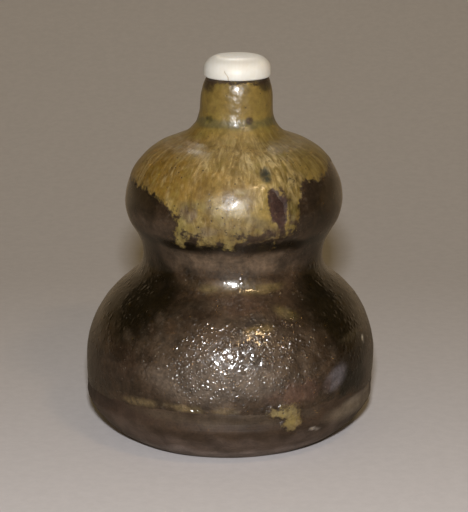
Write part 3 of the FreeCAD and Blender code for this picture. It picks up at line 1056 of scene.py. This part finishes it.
def iron_colour(tree, place, tint):
    """The dark glaze's brown and black clouds with fine paler flecks, over a tint."""
    cloud = between(tree, grain(tree, place, 4.5, 6, 0.62, 0.4), 0.3, 0.7, 0.62, 1.38)
    fine = between(tree, grain(tree, place, 0.9, 4, 0.7), 0.3, 0.72, 0.74, 1.3)
    shaded = toned(tree, tint, times(tree, cloud, fine))
    red = add(tree, "ShaderNodeSeparateColor", {"Color": tint}).outputs["Red"]
    light = between(tree, red, 0.006, 0.045, 0.2, 1.0)
    fleck = between(tree, grain(tree, place, 0.5, 2, 0.5), 0.66, 0.74, 0.0, 0.2)
    flecked = blend(tree, times(tree, fleck, light), shaded, paint(112, 94, 72))
    pale = between(tree, grain(tree, place, 1.1, 2, 0.5), 0.56, 0.74, 0.0, 0.12)
    return blend(tree, times(tree, pale, light), flecked, paint(124, 112, 98))


def iron_relief(tree, place, pebbled):
    """The dark glaze's skin: an orange peel, and round domes left by bubbles, which each
    throw back one spark. Both grow with how pebbled the place is. A dome's height falls
    with the square of the distance from its middle."""
    peel = sum_of(tree, grain(tree, place, 1.7, 1.0, 0.4),
                  times(tree, grain(tree, place, 0.55, 1, 0.4), 0.22))
    under = bumped(tree, times(tree, peel, pebbled), 0.26)
    where = between(tree, grain(tree, place, 2.6, 2, 0.5), 0.37, 0.50)
    for size, depth, share in ((1.5, 0.21, where), (0.7, 0.1, pebbled)):
        away = sum_of(tree, cells(tree, place, size), 0.42, "DIVIDE")
        fall = sum_of(tree, times(tree, away, away), 1.0, "MINIMUM")
        dome = times(tree, sum_of(tree, 1.0, fall, "SUBTRACT"), share)
        under = bumped(tree, times(tree, dome, pebbled), depth, under)
    return under


def iron_finish():
    """Dark iron glaze, glossy over a satin body, with a few pale dots, painted glints, where
    pebbled.
    """
    material, tree, shader, place = new_finish("dark_iron_glaze")
    colour = iron_colour(tree, place, kept(tree, "tint", "Color"))
    pebbled = kept(tree, "pebbled")
    few = between(tree, grain(tree, place, 5.0, 2, 0.5), 0.52, 0.64, 0.0, 0.75)
    # Pale dots where the glaze is pebbled: painted glints of bubble sparks
    glint_dot = times(tree, between(tree, cells(tree, place, 1.2), 0.17, 0.08), few)
    colour = blend(tree, times(tree, glint_dot, pebbled), colour, paint(150, 140, 124))
    relief = iron_relief(tree, place, pebbled)
    rough = between(tree, grain(tree, place, 3, 4), 0.3, 0.7, 0.26, 0.38)
    join(tree, shader, Base_Color=colour, Normal=relief, Coat_Normal=relief, Roughness=rough,
         Specular_IOR_Level=0.3, Coat_Weight=1.0, Coat_Roughness=0.1, Coat_IOR=1.8)
    return material


def ash_finish():
    """Ochre ash glaze: cream and brown streaks that follow its flow, dark pinholes, and
    places where it lies so thin that the dark glaze shows through."""
    material, tree, shader, place = new_finish("ochre_ash_glaze")
    tint, creamy = kept(tree, "tint", "Color"), kept(tree, "creamy")
    flow, runny = kept(tree, "flow", "Vector"), kept(tree, "runny")
    streak = grain(tree, flow, 1.8, 4, 0.62, 1.6)
    wide_streak = grain(tree, flow, 4.2, 5, 0.66, 1.6)
    cream = between(tree, streak, 0.40, 0.74)
    brown = times(tree, between(tree, wide_streak, 0.54, 0.34), runny)
    body = blend(tree, times(tree, cream, creamy), tint, paint(188, 170, 126))
    body = blend(tree, times(tree, brown, 0.6), body, paint(88, 64, 20))
    olive = between(tree, grain(tree, place, 2.4, 4, 0.6), 0.5, 0.72, 0.0, 0.5)
    body = blend(tree, olive, body, paint(108, 96, 42))
    mottle = between(tree, grain(tree, place, 1.2, 5, 0.68), 0.3, 0.7, 0.78, 1.20)
    body = toned(tree, body, mottle)
    dotted = between(tree, grain(tree, place, 3.2, 2, 0.5), 0.48, 0.60)
    pin = times(tree, between(tree, cells(tree, place, 1.2), 0.20, 0.12), dotted)
    body = blend(tree, times(tree, pin, 0.8), body, paint(46, 34, 22))
    ragged = between(tree, grain(tree, place, 1.0, 6, 0.7), 0.3, 0.7, -0.42, 0.42)
    cover = between(tree, sum_of(tree, kept(tree, "cover"), ragged), 0.10, 0.80)
    under = iron_colour(tree, place, kept(tree, "under", "Color"))
    body = blend(tree, cover, under, body)
    height = sum_of(tree, grain(tree, place, 2.1, 2, 0.5),
                    times(tree, streak, 0.15))
    height = sum_of(tree, height, times(tree, pin, -0.5))
    wet = sum_of(tree, 1.2, runny, "SUBTRACT")
    dimple = times(tree, grain(tree, place, 1.0, 1, 0.4), wet)
    relief = bumped(tree, sum_of(tree, height, dimple), 0.09)
    rough = between(tree, grain(tree, place, 2.4, 3), 0.3, 0.7, 0.31, 0.41)
    join(tree, shader, Base_Color=body, Normal=relief, Coat_Normal=relief, Roughness=rough,
         Specular_IOR_Level=0.62, Coat_Weight=0.3, Coat_Roughness=0.07)
    return material


def ivory_finish():
    """Polished ivory: warm white with faint growth lines and a dark hairline crack."""
    material, tree, shader, place = new_finish("turned_ivory")
    moved = add(tree, "ShaderNodeMapping", {"Vector": place, "Location": (0.021, 0.004, 0)})
    lines = add(tree, "ShaderNodeTexWave", {
        "Vector": moved.outputs["Vector"], "Scale": 380.0, "Distortion": 1.4, "Detail": 2.0,
    }, wave_type="RINGS", rings_direction="Z").outputs["Fac"]
    cloud = grain(tree, place, 3.5, 4)
    warm = blend(tree, between(tree, cloud, 0.35, 0.65),
                 paint(219, 218, 211), paint(213, 210, 200))
    lined = blend(tree, between(tree, lines, 0.3, 0.9, 0.0, 0.07), warm, paint(200, 192, 172))
    crack = between(tree, kept(tree, "crack"), 0.25, 0.8)
    join(tree, shader, Base_Color=blend(tree, crack, lined, paint(166, 150, 126)),
         Normal=bumped(tree, grain(tree, place, 0.6, 3), 0.012),
         Roughness=between(tree, cloud, 0.3, 0.7, 0.36, 0.46),
         Subsurface_Weight=0.5, Subsurface_Scale=0.003, Subsurface_Radius=(1.0, 0.9, 0.8),
         Specular_IOR_Level=0.25, Coat_Weight=0.04, Coat_Roughness=0.1)
    return material


def gilt_finish():
    """Gold leaf on paper, worn thin in places to its reddish ground."""
    material, tree, shader, place = new_finish("gilded_paper")
    wear = between(tree, grain(tree, place, 1.4, 5, 0.7), 0.58, 0.72)
    leaf = blend(tree, between(tree, grain(tree, place, 0.7, 3), 0.3, 0.7),
                 paint(214, 170, 84), paint(236, 200, 120))
    worn = blend(tree, wear, leaf, paint(120, 62, 38))
    join(tree, shader, Base_Color=worn, Metallic=between(tree, wear, 0, 1, 1.0, 0.0),
         Roughness=between(tree, wear, 0, 1, 0.32, 0.7),
         Normal=bumped(tree, grain(tree, place, 0.9, 4), 0.05))
    return material


# The table, the light and the camera, in metres and degrees
pot_middle = (0, 0, 0.045)
camera_place = (0.0013, -0.4264, 0.1548)
camera_tilt = 15.137
lens_length = 138.44
sensor_size = 36.0


def table():
    """A wide pale table top whose cloth curves up behind the pot: level as far as a bend,
    then an arc about a level line above it. A glossy surface sees it warmer, and its near
    part darker. The camera sees one plain colour where it lies far from the pot, to the
    sides and the front, and sees through it from behind and below."""
    half, bend, curve = 3.0, 0.12, 0.65
    turn = np.linspace(0, math.radians(70), 60)
    depth = np.r_[-half, -0.5, bend + curve * np.sin(turn)]
    height = np.r_[0, 0, curve * (1 - np.cos(turn))]
    sides = [np.stack([np.full(len(depth), x), depth, height], 1) for x in (-half, half)]
    left = np.arange(len(depth) - 1)
    right = left + len(depth)
    faces = np.stack([left, right, right + 1, left + 1], 1)
    piece = write_mesh("table_top", np.vstack(sides), faces.tolist())
    material, tree, shader, place = new_finish("pale_table")
    across, away, _ = add(tree, "ShaderNodeSeparateXYZ", {"Vector": place}).outputs
    colour = blend(tree, between(tree, away, -0.1, 0.4), paint(217, 213, 213),
                   paint(230, 224, 219))
    fibre = between(tree, grain(tree, place, 2.5, 5, 0.7), 0.3, 0.7, 0.97, 1.03)
    glossy = ray_is(tree, "Glossy")
    dim = times(tree, glossy, between(tree, away, 0.0, 0.3, 0.75, 0.15))
    shade = times(tree, fibre, sum_of(tree, 1.0, dim, "SUBTRACT"))
    warmth = blend(tree, glossy, paint(255, 255, 255), paint(255, 240, 214))
    shaded = toned(tree, colour, shade)
    join(tree, shader, Base_Color=blend(tree, 1.0, shaded, warmth, "MULTIPLY"),
         Roughness=0.75, Specular_IOR_Level=0.2)
    aside = between(tree, sum_of(tree, across, 0.0, "ABSOLUTE"), 0.22, 0.50)
    far = sum_of(tree, aside, between(tree, away, -0.055, -0.20), "MAXIMUM")
    plain = add(tree, "ShaderNodeEmission", {"Color": paint(156, 147, 137)})
    seen = either(tree, times(tree, far, ray_is(tree, "Camera")), shader.outputs["BSDF"],
                  plain.outputs["Emission"])
    behind = tree.nodes.new("ShaderNodeNewGeometry").outputs["Backfacing"]
    clear = tree.nodes.new("ShaderNodeBsdfTransparent").outputs["BSDF"]
    tree.links.new(either(tree, behind, seen, clear),
                   tree.nodes["Material Output"].inputs["Surface"])
    piece.data.materials.append(material)


def lamp(name, place, size, power, colour):
    """A soft rectangular lamp at a place, turned towards the pot and not seen itself."""
    light = bpy.data.lights.new(name, "AREA")
    light.shape = "RECTANGLE"
    light.size, light.size_y = size
    light.energy, light.color = power, colour
    holder = bpy.data.objects.new(name, light)
    holder.location = place
    towards = Vector(pot_middle) - holder.location
    holder.rotation_euler = towards.to_track_quat("-Z", "Y").to_euler()
    holder.visible_camera = False
    bpy.context.scene.collection.objects.link(holder)
    return holder


def room_light():
    """Even light from all sides, which a glossy surface sees much darker. The camera sees
    a plain wall of the backdrop's colour."""
    world = bpy.data.worlds.new("room_light")
    bpy.context.scene.world = world
    world.use_nodes = True
    tree = world.node_tree
    background = tree.nodes["Background"]
    straight = ray_is(tree, "Camera")
    even, glossy = 0.115, 0.02
    strength = sum_of(tree, between(tree, ray_is(tree, "Glossy"), 0, 1, even, glossy),
                      between(tree, straight, 0, 1, 0, 1 - even))
    colour = blend(tree, straight, (1.0, 0.74, 0.36, 1), paint(150, 141, 130))
    tree.links.new(strength, background.inputs["Strength"])
    tree.links.new(colour, background.inputs["Color"])


def camera():
    """The photograph's view, from above the lid and tilted down towards the pot."""
    lens = bpy.data.cameras.new("view")
    lens.lens, lens.sensor_width = lens_length, sensor_size
    holder = bpy.data.objects.new("view", lens)
    holder.location = camera_place
    holder.rotation_euler = (math.radians(90 - camera_tilt), 0, 0)
    bpy.context.scene.collection.objects.link(holder)
    bpy.context.scene.camera = holder


def dress(piece, material, body, slot, *nodes):
    """Gives a piece its finish and body and hides the nodes it stands for; the slot is not
    used.
    """
    piece.data.materials.append(material)
    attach(piece, body)
    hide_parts(*nodes)
    pot_pieces.objects.link(piece)


pot_pieces = bpy.data.collections.new("pot_pieces")
ash = ash_finish()
dress(thrown_pot(), stoneware_finish(), "jar", "stoneware", "stoneware_body")
dress(iron_skin(), iron_finish(), "jar", "iron_glaze", "iron_glaze_coat")
dress(ash_runs(), ash, "jar", "ash_glaze", "ash_glaze_pour")
dress(foot_drop(), ash, "jar", "ash_glaze", "foot_ash_splash")
dress(ivory_lid(), ivory_finish(), "lid", "ivory", "ivory_lid")
dress(gold_lining(), gilt_finish(), "lid", "gold_paper", "lid_gold_lining")

table()
room_light()
lamp("flash", (0.0, -0.426, 0.205), (0.024, 0.018), 1.95, (0.98, 0.98, 1.0))
lamp("warm_lamp", (0.134, -0.262, 0.337), (0.06, 0.012), 0.14, (1.0, 0.70, 0.38))
back_lamp = lamp("back_lamp", (0.0, 0.46, 0.44), (0.16, 0.12), 1.1, (1.0, 0.97, 0.93))
back_lamp.light_linking.receiver_collection = pot_pieces
camera()

bpy.context.scene.view_settings.view_transform = "Standard"
